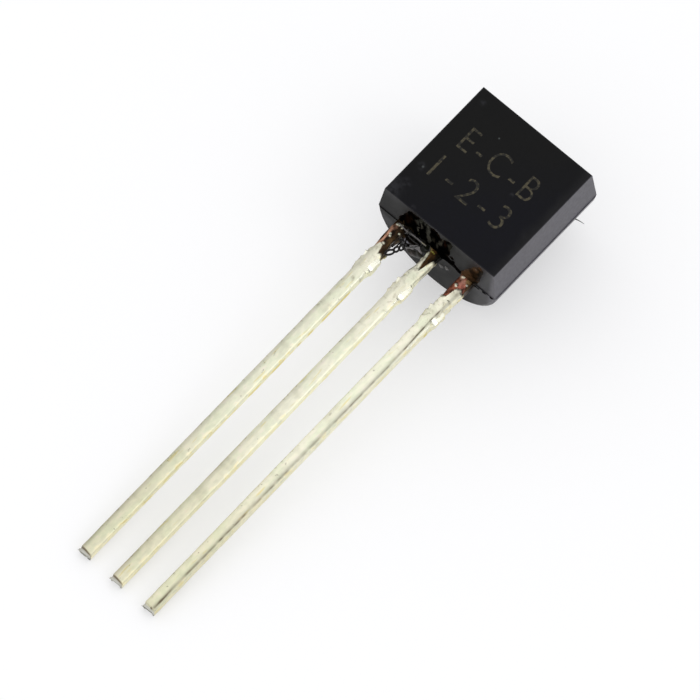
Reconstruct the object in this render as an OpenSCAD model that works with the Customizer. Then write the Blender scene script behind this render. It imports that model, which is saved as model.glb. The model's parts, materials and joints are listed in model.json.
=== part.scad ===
// Small-signal transistor in a three-lead D-shaped plastic package, lying on its rounded back.
//
// Every piece is drawn in the package's own frame and then laid down by at_rest():
// X runs across the package, left to right as the flat face is read with the leads down.
// Y runs up the package from the lower end of the moulding, so the leads run towards -Y.
// Z points out of the flat face, with zero at the middle of the lead strip.

/* [Moulded body] */
// Width of the body at its parting line
body_w = 4.6; // [4.4:0.05:5.2]
// Height of the body from its lower end to its upper end
body_h = 4.6; // [4.3:0.05:5.4]
// Depth from the parting line to the flat face
front_d = 1.4; // [1.1:0.05:1.7]
// Depth from the parting line to the lowest line of the rounded back
rear_d = 2.1; // [1.7:0.05:2.25]
// Amount by which each side of the front half leans in at the flat face
side_inset = 0.18; // [0.05:0.005:0.3]
// Amount by which the upper end of the front half leans in at the flat face
top_inset = 0.135; // [0.05:0.005:0.3]
// Amount by which the lower end of the front half leans in at the flat face
bottom_inset = 0.085; // [0.02:0.005:0.3]
// Radius of the edges round the flat face
front_edge_r = 0.06; // [0.04:0.01:0.2]
// Radius of the edges at the two ends of the rounded back
rear_edge_r = 0.12; // [0.05:0.01:0.25]
// Step at the parting line, where the front half is a little smaller than the back
mould_step = 0.025; // [0.01:0.005:0.06]

/* [Ejector mark] */
// Diameter of the round mark on the back
ejector_d = 1.6; // [1:0.05:2]
// Depth of the mark below the lowest line of the back
ejector_depth = 0.2; // [0.16:0.01:0.35]
// Height of the mark's centre above the lower end of the body
ejector_up = 2.3; // [1.5:0.05:3]

/* [Leads] */
// Distance between the centre lines of neighbouring leads
lead_pitch = 1.27; // [1.15:0.01:1.4]
// Length of the leads below the body
lead_l = 14; // [10:0.1:16]
// Width of the bare strip along the leads
strip_w = 0.4; // [0.3:0.01:0.5]
// Thickness of the bare strip
strip_t = 0.35; // [0.25:0.01:0.45]
// Thickness of the solder coat on each side of the strip
coat = 0.02; // [0.01:0.005:0.04]
// Length of bare strip left between the body and the solder coat
bare_l = 1; // [0.5:0.05:1.6]
// Width of the bare strip where it leaves the body
root_w = 0.46; // [0.35:0.01:0.55]
// Width of the shoulder left where the tie bar between the leads was cut away
cut_w = 0.54; // [0.48:0.01:0.65]
// Distance from the body to the near end of that shoulder
cut_from = 1.4; // [1.05:0.05:1.8]
// Length of the full width of the shoulder
cut_l = 0.45; // [0.3:0.05:0.8]
// Length over which the shoulder runs out into the lead on either side
cut_taper = 0.2; // [0.1:0.05:0.4]

/* [Lead frame inside the body] */
// Height of the lower edge of the two bonding posts above the lower end of the body
post_up = 0.8; // [0.5:0.05:1]
// Height of the two bonding posts
post_h = 0.8; // [0.6:0.05:1]
// Reach of each bonding post past the outer edge of its lead
post_out = 0.12; // [0.05:0.01:0.2]
// Gap between neighbouring parts of the lead frame
frame_gap = 0.3; // [0.2:0.02:0.34]
// Width of the pad that carries the chip
pad_w = 1.5; // [1.2:0.05:2]
// Height of the pad that carries the chip
pad_h = 1.7; // [1.4:0.05:2]
// Radius of the lock hole in each bonding post
post_hole_r = 0.14; // [0.08:0.01:0.16]
// Radius of the lock hole near the upper edge of the pad
pad_hole_r = 0.2; // [0.1:0.01:0.24]
// Distance from the centre of the pad's lock hole to the upper edge of the pad
pad_hole_edge = 0.38; // [0.3:0.01:0.42]

/* [Chip] */
// Side of the square silicon chip
die_w = 0.5; // [0.35:0.01:0.6]
// Thickness of the silicon chip
die_t = 0.2; // [0.1:0.01:0.28]
// Height of the chip's centre above the lower edge of the pad
die_up = 0.65; // [0.5:0.01:0.7]
// Thickness of the layer that fixes the chip to the pad
attach_t = 0.03; // [0.02:0.005:0.06]
// Width by which that layer shows round the chip
attach_rim = 0.04; // [0.02:0.005:0.08]

/* [Bond wires] */
// Diameter of the bond wires
wire_d = 0.05; // [0.03:0.005:0.06]
// Height of the wire's arch above the straight line between its two ends
wire_rise = 0.42; // [0.25:0.01:0.5]
// Diameter of the ball that joins each wire to the chip
ball_d = 0.12; // [0.09:0.01:0.14]
// Height of that ball
ball_h = 0.05; // [0.03:0.005:0.07]
// Diameter of the flattened foot that joins each wire to its post
foot_d = 0.14; // [0.1:0.01:0.18]
// Height of that foot
foot_h = 0.03; // [0.02:0.005:0.05]
// Distance of each ball from the middle of the chip
ball_out = 0.13; // [0.08:0.01:0.16]
// Distance of each foot from the inner edge of its post
foot_in = 0.24; // [0.12:0.01:0.26]
// Distance of each foot from the upper edge of its post
foot_edge = 0.3; // [0.1:0.01:0.5]

/* [Hidden] */
$fn = 96;

// The front half is smaller than the back by one mould step all round
front_w = body_w - 2 * mould_step;
front_h = body_h - 2 * mould_step;

// The back is part of a round bar whose centre line lies in front of the parting line
half_w = body_w / 2;
rear_r = (half_w * half_w + rear_d * rear_d) / (2 * rear_d);
rear_axis_z = rear_r - rear_d;

// Lead frame heights, measured from the lower end of the body
post_top = post_up + post_h;
pad_bottom = post_top + frame_gap;
pad_top = pad_bottom + pad_h;
inner_edge = root_w / 2 + frame_gap;
outer_edge = lead_pitch + root_w / 2 + post_out;

// Levels of the parts on the strip
strip_top = strip_t / 2;
die_bottom = strip_top + attach_t;
die_top = die_bottom + die_t;
die_y = pad_bottom + die_up;
foot_x = inner_edge + foot_in;
foot_y = post_top - foot_edge;

// Coated cross section of the leads
coat_half_t = strip_t / 2 + coat;
coat_half_w = strip_w / 2 + coat;

// At rest the rounded lower edge of the back and the ends of the leads touch the surface
rest_run = lead_l + rear_edge_r;
rest_drop = rear_d - rear_edge_r - coat_half_t;
rest_tilt = atan2(rest_drop, rest_run) + asin(rear_edge_r / norm([rest_run, rest_drop]));
rest_rise = lead_l * sin(rest_tilt) + coat_half_t * cos(rest_tilt);
far_y = (body_h - rear_edge_r) * cos(rest_tilt) + (rear_d - rear_edge_r) * sin(rest_tilt)
        + rear_edge_r;
near_y = -lead_l * cos(rest_tilt) - coat_half_t * sin(rest_tilt);

// Overlap that keeps cutting shapes clear of the faces that they cut
over = 0.5;

// Angle by which each end of a wire's arch runs on into the ball or the foot that holds it
wire_dip = 3;

// Number of sides of the small round parts
wire_sides = 24;
ball_sides = 32;

// Lays a piece from the package frame on the surface, with the origin under its middle
module at_rest() {
    translate([0, -(far_y + near_y) / 2, rest_rise]) rotate([rest_tilt, 0, 0]) children();
}

// Unit vector from one point to another
function toward(a, b) = (b - a) / norm(b - a);

// Inner angle of a corner
function corner_angle(before, corner, after) =
    acos(toward(corner, before) * toward(corner, after));

// Centre of the circle that rounds a corner
function round_centre(before, corner, after, r) =
    let (middle = toward(corner, before) + toward(corner, after))
    corner + middle / norm(middle) * r / sin(corner_angle(before, corner, after) / 2);

// The two points where that circle touches the corner's sides
function round_ends(before, corner, after, r) =
    let (reach = r / tan(corner_angle(before, corner, after) / 2))
    [corner + toward(corner, before) * reach, corner + toward(corner, after) * reach];

// Four-sided profile with its base on the parting line and its other two corners rounded
module drafted_profile(base_from, base_to, face_from, face_to, depth, r) {
    a = [base_from, 0];
    b = [base_to, 0];
    c = [face_to, depth];
    d = [face_from, depth];
    polygon(concat([a, b], round_ends(b, c, d, r), round_ends(c, d, a, r)));
    translate(round_centre(b, c, d, r)) circle(r);
    translate(round_centre(c, d, a, r)) circle(r);
}

// Front half: side draft crossed with end draft
module front_half() {
    intersection() {
        translate([0, body_h, 0]) rotate([90, 0, 0]) linear_extrude(body_h)
            drafted_profile(-front_w / 2, front_w / 2, -half_w + side_inset,
                            half_w - side_inset, front_d, front_edge_r);
        translate([-half_w, 0, 0]) rotate([90, 0, 90]) linear_extrude(body_w)
            drafted_profile(mould_step, mould_step + front_h, bottom_inset,
                            body_h - top_inset, front_d, front_edge_r);
    }
}

// Outline of half the round bar, with its end edges rounded
module bar_profile() {
    square([rear_r - rear_edge_r, body_h]);
    translate([0, rear_edge_r]) square([rear_r, body_h - 2 * rear_edge_r]);
    for (y = [rear_edge_r, body_h - rear_edge_r])
        translate([rear_r - rear_edge_r, y]) circle(rear_edge_r);
}

// Rear half: the part of the round bar behind the parting line
module rear_half() {
    intersection() {
        translate([0, 0, rear_axis_z]) rotate([-90, 0, 0]) rotate_extrude() bar_profile();
        translate([-rear_r, 0, -rear_d - over]) cube([2 * rear_r, body_h, rear_d + over]);
    }
}

// Strip of the lead frame seen from the flat face, as an outline between two heights
module strip(from, to, width) {
    translate([-width / 2, from]) square([width, to - from]);
}

// Shoulder left by the cut tie bar, widened by the coat like the rest of the lead
module cut_shoulder(grow) {
    wide = cut_w / 2 + grow;
    narrow = strip_w / 2 + grow;
    polygon([[-narrow, -cut_from + cut_taper], [-wide, -cut_from],
             [-wide, -cut_from - cut_l], [-narrow, -cut_from - cut_l - cut_taper],
             [narrow, -cut_from - cut_l - cut_taper], [wide, -cut_from - cut_l],
             [wide, -cut_from], [narrow, -cut_from + cut_taper]]);
}

// Gives an outline the thickness of the strip, grown by the coat where there is one
module plate(grow) {
    translate([0, 0, -strip_t / 2 - grow]) linear_extrude(strip_t + 2 * grow) children();
}

// Part of a lead outside the body: a bare root, then the coated length to the cut end
module outer_lead() {
    plate(0) strip(-bare_l, 0, root_w);
    plate(coat) intersection() {
        union() {
            strip(-lead_l, 0, 2 * coat_half_w);
            cut_shoulder(coat);
        }
        strip(-lead_l, -bare_l, 2 * cut_w);
    }
}

// Collector lead, whose upper end is the pad that carries the chip
module collector_shape() {
    outer_lead();
    plate(0) difference() {
        union() {
            strip(0, pad_bottom, root_w);
            strip(pad_bottom, pad_top, pad_w);
        }
        translate([0, pad_top - pad_hole_edge]) circle(pad_hole_r);
    }
}

// Right-hand outer lead, whose upper end is a bonding post
module post_shape() {
    translate([lead_pitch, 0, 0]) outer_lead();
    plate(0) difference() {
        union() {
            translate([lead_pitch, 0]) strip(0, post_up, root_w);
            translate([inner_edge, post_up]) square([outer_edge - inner_edge, post_h]);
        }
        translate([lead_pitch, post_up + post_h / 2]) circle(post_hole_r);
    }
}

// Slab centred on the chip's place on the pad
module slab(width, bottom, thickness) {
    translate([-width / 2, die_y - width / 2, bottom]) cube([width, width, thickness]);
}

module chip_shape() {
    slab(die_w, die_bottom, die_t);
}

module bond_shape() {
    slab(die_w + 2 * attach_rim, strip_top, attach_t);
}

// Wire from the right of the chip down to the right-hand post, as one round arch
module wire_shape() {
    start = [ball_out, die_y, die_top];
    end = [foot_x, foot_y, strip_top];
    run = norm([end.x - start.x, end.y - start.y]);
    chord = norm(end - start);
    arch_r = (chord * chord / 4 + wire_rise * wire_rise) / (2 * wire_rise);
    half_angle = asin(chord / 2 / arch_r);
    fall = atan2(start.z - end.z, run);
    heading = atan2(end.y - start.y, end.x - start.x);
    difference() {
        translate((start + end) / 2) rotate([0, 0, heading]) rotate([0, fall, 0])
            translate([0, 0, wire_rise - arch_r]) rotate([90, 0, 0])
                rotate([0, 0, 90 - half_angle - wire_dip])
                    rotate_extrude(angle = 2 * (half_angle + wire_dip))
                        translate([arch_r, 0]) circle(d = wire_d, $fn = wire_sides);
        chip_shape();
        post_shape();
    }
    translate(start) cylinder(d = ball_d, h = ball_h, $fn = ball_sides);
    translate(end) cylinder(d = foot_d, h = foot_h, $fn = ball_sides);
}

// Round mark left in the back by the pin that pushed the body out of its mould
module ejector_mark() {
    translate([0, ejector_up, -rear_d - over])
        cylinder(d = ejector_d, h = over + ejector_depth);
}

// Moulded body, cast round the lead frame, the chip and the wires
module body() {
    color([0.09, 0.09, 0.11]) at_rest() difference() {
        union() {
            front_half();
            rear_half();
        }
        ejector_mark();
        collector_shape();
        chip_shape();
        bond_shape();
        for (side = [0, 1]) mirror([side, 0, 0]) {
            post_shape();
            wire_shape();
        }
    }
}

module collector_lead() {
    color([0.86, 0.85, 0.76]) at_rest() collector_shape();
}

module base_lead() {
    color([0.86, 0.85, 0.76]) at_rest() post_shape();
}

module emitter_lead() {
    color([0.86, 0.85, 0.76]) at_rest() mirror([1, 0, 0]) post_shape();
}

module chip() {
    color([0.35, 0.36, 0.42]) at_rest() chip_shape();
}

module chip_bond() {
    color([0.78, 0.76, 0.7]) at_rest() bond_shape();
}

module base_wire() {
    color([0.9, 0.72, 0.3]) at_rest() wire_shape();
}

module emitter_wire() {
    color([0.9, 0.72, 0.3]) at_rest() mirror([1, 0, 0]) wire_shape();
}

body();
emitter_lead();
collector_lead();
base_lead();
chip();
chip_bond();
emitter_wire();
base_wire();
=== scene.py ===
import json
import math

import bmesh
import bpy
from mathutils import Matrix, Vector, noise
from mathutils.bvhtree import BVHTree


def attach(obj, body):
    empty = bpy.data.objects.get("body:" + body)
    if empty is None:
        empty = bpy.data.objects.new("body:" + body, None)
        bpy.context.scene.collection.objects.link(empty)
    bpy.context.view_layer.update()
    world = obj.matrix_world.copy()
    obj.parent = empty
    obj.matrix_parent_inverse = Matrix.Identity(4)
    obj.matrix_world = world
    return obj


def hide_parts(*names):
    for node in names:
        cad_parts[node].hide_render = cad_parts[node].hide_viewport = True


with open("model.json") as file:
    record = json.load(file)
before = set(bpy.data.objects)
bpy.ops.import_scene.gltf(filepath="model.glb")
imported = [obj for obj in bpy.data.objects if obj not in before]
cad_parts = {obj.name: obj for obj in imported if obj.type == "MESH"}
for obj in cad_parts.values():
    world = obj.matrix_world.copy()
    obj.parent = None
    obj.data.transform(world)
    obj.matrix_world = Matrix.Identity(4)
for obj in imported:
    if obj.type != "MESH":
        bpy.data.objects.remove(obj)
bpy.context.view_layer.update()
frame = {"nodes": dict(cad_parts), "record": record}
print("frame loaded")

# Shapes are drawn in the package frame in mm: X across the leads, Y up the package, Z out of the flat face
package = {"leadLength": 14.0, "pitch": 1.27, "flatZ": 1.4, "millimetre": 0.001}
tipMount = next(m for m in frame["record"]["mounts"] if m["name"] == "collector_tip")
alongLead = Vector(tipMount["axis"])
restTilt = math.atan2(-alongLead.z, -alongLead.y)
restPlace = Vector(tipMount["pos_m"]) - alongLead * package["leadLength"] * package["millimetre"]
layDown = (Matrix.Translation(restPlace) @ Matrix.Rotation(restTilt, 4, "X")
           @ Matrix.Scale(package["millimetre"], 4))


# Camera, floor and lamps

cameraLook = {"place": (0.087371, -0.154979, 0.318681), "turn": (28.664, -6.575, 41.105), "lens": 639.13,
              "sensor": 36, "nearest": 0.01, "farthest": 10}


def addObject(name, data):
    made = bpy.data.objects.new(name, data)
    bpy.context.scene.collection.objects.link(made)
    return made


def meshFrom(bm, name):
    mesh = bpy.data.meshes.new(name)
    bm.to_mesh(mesh)
    bm.free()
    return mesh


camera = addObject("camera", bpy.data.cameras.new("camera"))
camera.location = cameraLook["place"]
camera.rotation_euler = [math.radians(a) for a in cameraLook["turn"]]
camera.data.lens = cameraLook["lens"]
camera.data.sensor_width = cameraLook["sensor"]
camera.data.clip_start = cameraLook["nearest"]
camera.data.clip_end = cameraLook["farthest"]
bpy.context.scene.camera = camera
bpy.context.scene.view_settings.view_transform = "Standard"


def addNode(tree, kind, inputs=None, **settings):
    made = tree.nodes.new("ShaderNode" + kind)
    for key, value in settings.items():
        setattr(made, key, value)
    for key, value in (inputs or {}).items():
        plug(tree, value, made.inputs[key])
    return made


def plug(tree, value, socket):
    if isinstance(value, bpy.types.NodeSocket):
        tree.links.new(value, socket)
    elif socket.type == "RGBA":
        socket.default_value = (*value[:3], 1)
    else:
        socket.default_value = value


def packagePoint(tree):
    place = addNode(tree, "TexCoord").outputs["Object"]
    scale = (package["millimetre"],) * 3
    return addNode(tree, "Mapping", {"Vector": place, "Location": restPlace, "Rotation": (restTilt, 0, 0),
                                     "Scale": scale}, vector_type="TEXTURE").outputs[0]


def noiseField(tree, point, scale, detail=3, stretch=(1, 1, 1), offset=(0, 0, 0)):
    if stretch != (1, 1, 1) or offset != (0, 0, 0):
        point = addNode(tree, "Mapping", {"Vector": point, "Scale": stretch, "Location": offset}).outputs[0]
    return addNode(tree, "TexNoise", {"Vector": point, "Scale": scale, "Detail": detail}).outputs["Fac"]


def ramp(tree, value, low, high, start=0.0, end=1.0):
    return addNode(tree, "MapRange", {"Value": value, "From Min": low, "From Max": high, "To Min": start,
                                      "To Max": end}, interpolation_type="SMOOTHSTEP").outputs[0]


def combine(tree, operation, first, second):
    return addNode(tree, "Math", {0: first, 1: second}, operation=operation).outputs[0]


def times(tree, first, second):
    return combine(tree, "MULTIPLY", first, second)


def blendColours(tree, factor, first, second, way="MIX"):
    made = addNode(tree, "Mix", {}, data_type="RGBA", blend_type=way)
    for index, value in ((0, factor), (6, first), (7, second)):
        plug(tree, value, made.inputs[index])
    return made.outputs[2]


def spot(tree, point, centre, inner, outer):
    distance = addNode(tree, "VectorMath", {0: point, 1: centre}, operation="DISTANCE").outputs["Value"]
    return ramp(tree, distance, inner, outer, 1.0, 0.0)


def newMaterial(name, **values):
    material = bpy.data.materials.new(name)
    material.use_nodes = True
    tree = material.node_tree
    shader = tree.nodes["Principled BSDF"]
    for key, value in values.items():
        plug(tree, value, shader.inputs[key.replace("_", " ")])
    return material, tree, shader


def addBump(tree, shader, height, depth, under=None):
    inputs = {"Height": height, "Distance": depth, "Strength": 1.0}
    if under:
        inputs["Normal"] = under
    normal = addNode(tree, "Bump", inputs).outputs[0]
    tree.links.new(normal, shader.inputs["Normal"])
    return normal


studio = {
    "floorSize": 3.0, "floorColour": (0.945, 0.947, 0.965), "floorRoughness": 0.9, "floorGlow": 0.42,
    "skyAbove": 1.025, "skySide": 1.04, "skyHeights": (0.15, 0.9), "skyLean": -0.18,
    "softboxPlace": (0.30, 0.11, 0.31), "softboxSize": 0.14, "softboxPower": 0.10,
}


def buildStudio(look):
    bm = bmesh.new()
    bmesh.ops.create_grid(bm, x_segments=1, y_segments=1, size=look["floorSize"] / 2)
    mesh = meshFrom(bm, "floor")
    floor = addObject("floor", mesh)
    material, tree, shader = newMaterial("floor_paper", Base_Color=look["floorColour"],
                                         Roughness=look["floorRoughness"], Specular_IOR_Level=0.0)
    # the paper shines a little for what looks at it, so the shadow on it stays light
    rays = addNode(tree, "LightPath").outputs
    seen = combine(tree, "MAXIMUM", rays["Is Camera Ray"], rays["Is Glossy Ray"])
    seen = combine(tree, "MAXIMUM", seen, rays["Is Transmission Ray"])
    glow = addNode(tree, "Emission", {"Color": (1, 1, 1), "Strength": 1.0}).outputs[0]
    paper = addNode(tree, "MixShader", {0: times(tree, seen, look["floorGlow"]),
                                        1: shader.outputs[0], 2: glow}).outputs[0]
    tree.links.new(paper, tree.nodes["Material Output"].inputs["Surface"])
    mesh.materials.append(material)

    world = bpy.data.worlds.new("studio")
    bpy.context.scene.world = world
    world.use_nodes = True
    tree = world.node_tree
    direction = addNode(tree, "TexCoord").outputs["Generated"]
    parts = addNode(tree, "SeparateXYZ", {0: direction}).outputs
    strength = ramp(tree, parts["Z"], *look["skyHeights"], look["skySide"], look["skyAbove"])
    strength = combine(tree, "ADD", strength, times(tree, parts["X"], look["skyLean"]))
    tree.links.new(strength, tree.nodes["Background"].inputs["Strength"])
    tree.nodes["Background"].inputs["Color"].default_value = (1, 1, 1, 1)

    lamp = bpy.data.lights.new("softbox", "AREA")
    lamp.shape = "SQUARE"
    lamp.size = look["softboxSize"]
    lamp.energy = look["softboxPower"]
    softbox = addObject("softbox", lamp)
    softbox.location = look["softboxPlace"]
    softbox.rotation_euler = (-Vector(look["softboxPlace"])).to_track_quat("-Z", "Y").to_euler()


buildStudio(studio)
print("camera, floor and lamps ready")


# Tools shared by the pieces

def smoothStep(low, high, value):
    t = min(max((value - low) / (high - low), 0.0), 1.0)
    return t * t * (3 - 2 * t)


def window(rise, fall, value):
    # One between the two slopes, nothing outside them
    return smoothStep(*rise, value) * (1 - smoothStep(*fall, value))


def hill(value, middle, reach):
    return math.exp(-((value - middle) / reach) ** 2)


def alongList(places, value):
    if value <= places[0][0]:
        return places[0][1]
    for (a, first), (b, second) in zip(places, places[1:]):
        if value <= b:
            return first + (second - first) * (value - a) / (b - a)
    return places[-1][1]


def fromNode(nodeName):
    # A merged copy of a CAD node in the package frame
    bm = bmesh.new()
    bm.from_mesh(frame["nodes"][nodeName].data)
    bmesh.ops.transform(bm, matrix=layDown.inverted(), verts=bm.verts)
    bmesh.ops.remove_doubles(bm, verts=bm.verts, dist=0.0005)
    return bm


def joinMesh(bm, mesh):
    bm.from_mesh(mesh)
    bpy.data.meshes.remove(mesh)


def meshOfCurve(curve):
    holder = addObject("holder", curve)
    bpy.context.view_layer.update()
    mesh = bpy.data.meshes.new_from_object(holder)
    bpy.data.objects.remove(holder)
    return mesh


def addPiece(bm, name, material, smooth=True):
    bmesh.ops.transform(bm, matrix=layDown, verts=bm.verts)
    bmesh.ops.recalc_face_normals(bm, faces=bm.faces)
    mesh = meshFrom(bm, name)
    mesh.polygons.foreach_set("use_smooth", [smooth] * len(mesh.polygons))
    mesh.materials.append(material)
    piece = addObject(name, mesh)
    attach(piece, "root")
    return piece


bodyCopy = fromNode("body")
bodySurface = BVHTree.FromBMesh(bodyCopy)
bodyCopy.free()


# Moulded body: the CAD node with a matt flat, smoother sides lightened by painted sheen, and small marks

mouldingLook = {
    "flatColour": (0.0026, 0.0026, 0.0027), "flatBlue": (0.0014, 0.0015, 0.0040),
    "sideSheenColour": (0.046, 0.0445, 0.054), "rightSheenColour": (0.088, 0.085, 0.098),
    "endColour": (0.006, 0.006, 0.006), "rimColour": (0.0085, 0.0085, 0.0095),
    "smudgeColour": (0.016, 0.016, 0.019), "specular": 0.12,
    "flatRoughness": 0.52, "sideRoughness": 0.34, "endRoughness": 0.5,
    "sheenPatchColour": (0.03, 0.03, 0.033), "speckColour": (0.05, 0.056, 0.056),
    "grainScale": 22, "grainDepth": 1.6e-6,
    "smudges": [((-1.79, 1.32, 1.4), 0.02, 0.2), ((-1.78, 0.61, 1.4), 0.02, 0.24),
                ((-1.81, 4.05, 1.4), 0.02, 0.16), ((0.79, 2.39, 1.4), 0.02, 0.1),
                ((-2.05, 0.2, 1.4), 0.1, 0.6), ((-1.1, 0.13, 1.39), 0.03, 0.14)],
    "specks": [((-0.68, 3.51, 1.4), 0.012, 0.04), ((-1.74, 1.33, 1.4), 0.01, 0.055)],
    "sheenPatches": [((-1.95, 0.0, -0.5), 0.1, 0.45), ((-2.2, 0.6, -0.5), 0.1, 0.5)],
    "dimple": ((-0.79, 0.71, 1.4), 0.02, 0.07),
}


def finishBody(look):
    material, tree, shader = newMaterial("moulding_compound", Specular_IOR_Level=look["specular"])
    point = packagePoint(tree)
    parts = addNode(tree, "SeparateXYZ", {0: point}).outputs
    onFlat = ramp(tree, parts["Z"], 1.34, 1.395)
    cloud = noiseField(tree, point, 1.3, 4)
    # painted sheen: the sides and back get a lighter base colour than the flat and the lower end
    colour = blendColours(tree, ramp(tree, parts["Y"], 0.06, 0.14), look["endColour"], look["sideSheenColour"])
    lower = combine(tree, "SUBTRACT", combine(tree, "ADD", parts["X"], cloud), parts["Y"])
    flatTone = blendColours(tree, ramp(tree, lower, -3.5, 0.5), look["flatColour"], look["flatBlue"])
    rim = combine(tree, "ADD", parts["X"], ramp(tree, cloud, 0.3, 0.7, -0.08, 0.08))
    flatTone = blendColours(tree, ramp(tree, rim, 1.72, 2.12), flatTone, look["rimColour"])
    # painted reflection: the right side and its bevel are lighter towards +X
    colour = blendColours(tree, ramp(tree, parts["X"], 1.1, 1.9, 0, 0.2), colour, look["rightSheenColour"])
    colour = blendColours(tree, ramp(tree, parts["X"], 1.95, 2.15), colour, look["rightSheenColour"])
    colour = blendColours(tree, onFlat, colour, flatTone)
    shade = combine(tree, "ADD", ramp(tree, cloud, 0.3, 0.7, -0.07, 0.07),
                    ramp(tree, noiseField(tree, point, 9, 5), 0.3, 0.7, 0.88, 1.12))
    colour = blendColours(tree, 1.0, colour, shade, "MULTIPLY")
    wisps = ramp(tree, noiseField(tree, point, 6, 4), 0.35, 0.65)
    smudge = None
    for place in look["smudges"]:
        one = spot(tree, point, *place)
        smudge = combine(tree, "MAXIMUM", smudge, one) if smudge else one
    smudge = times(tree, smudge, wisps)
    colour = blendColours(tree, smudge, colour, look["smudgeColour"])
    # painted sheen: pale patches on the lower left of the lower end; the specks are dust
    for places, tone in ((look["sheenPatches"], look["sheenPatchColour"]), (look["specks"], look["speckColour"])):
        for place in places:
            colour = blendColours(tree, spot(tree, point, *place), colour, tone)
    tree.links.new(colour, shader.inputs["Base Color"])
    # the lower end is duller round the leads than near its right corner
    nearLeads = times(tree, ramp(tree, parts["Y"], 0.06, 0.14, 1.0, 0.0),
                        ramp(tree, parts["X"], 1.2, 1.8, 1.0, 0.0))
    rough = ramp(tree, nearLeads, 0.0, 1.0, look["sideRoughness"], look["endRoughness"])
    rough = combine(tree, "MAXIMUM", rough, times(tree, onFlat, look["flatRoughness"]))
    rough = combine(tree, "ADD", rough, ramp(tree, cloud, 0.3, 0.7, -0.04, 0.04))
    tree.links.new(rough, shader.inputs["Roughness"])
    grain = noiseField(tree, point, look["grainScale"], 3)
    pit = times(tree, spot(tree, point, *look["dimple"]), -6.0)
    addBump(tree, shader, combine(tree, "ADD", grain, pit), look["grainDepth"])
    body = frame["nodes"]["body"]
    body.data.materials.clear()
    body.data.materials.append(material)


finishBody(mouldingLook)
print("body finished")


# Leads: stamped copper strip, bare at the root, with a ragged solder coat from there to the cut tip

leadShape = {
    "sides": 96, "insideBody": 0.06, "halfThickness": 0.175,
    "rootHalfWidth": 0.23, "halfWidth": 0.20, "narrowing": (0.6, 1.1), "tipNarrow": 0.008,
    "bareSoftness": 12, "coatSoftness": 6.5, "coat": 0.02, "ragged": 0.16, "underStart": 1.0,
    "bead": 0.02, "beadPlace": 0.09, "beadLength": 0.08,
    "shoulder": (1.36, 1.9), "shoulderOut": 0.07, "leftShoulder": 0.55, "tooth": 0.05, "toothLength": 0.09,
    "torn": (2.0, 3.6), "lump": 0.004, "rootLump": 0.010, "slowLump": 0.006,
    "flake": 0.004, "rootFlake": 0.027, "flakeSize": (0.13, 0.2, 0.26),
    "groovePlace": [(2, 0.085), (4, 0.14), (9, 0.14), (13, 0.115)], "grooveWaver": 0.012,
    "grooveWidth": [(2.4, 0.02), (4, 0.028), (11.5, 0.028), (13.5, 0.034)], "grooveDepth": 0.03,
    "cutDepth": [(0.0, 0.275), (0.3, 0.248), (0.65, 0.226), (0.85, 0.226), (1.0, 0.25)], "cutLean": 60,
    "tipRoll": 0.10, "tipLip": 0.024, "tipDark": [(-1, 0.075), (0, 0.055), (1, 0.022)], "tipDarkWidth": 0.02,
    "strip": -0.74, "stripWidth": 0.10, "stripLate": 0.08, "edgeHighlightWidth": 0.013, "edgeHighlightNear": 0.007,
    "underShade": 0.85,
}
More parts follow.
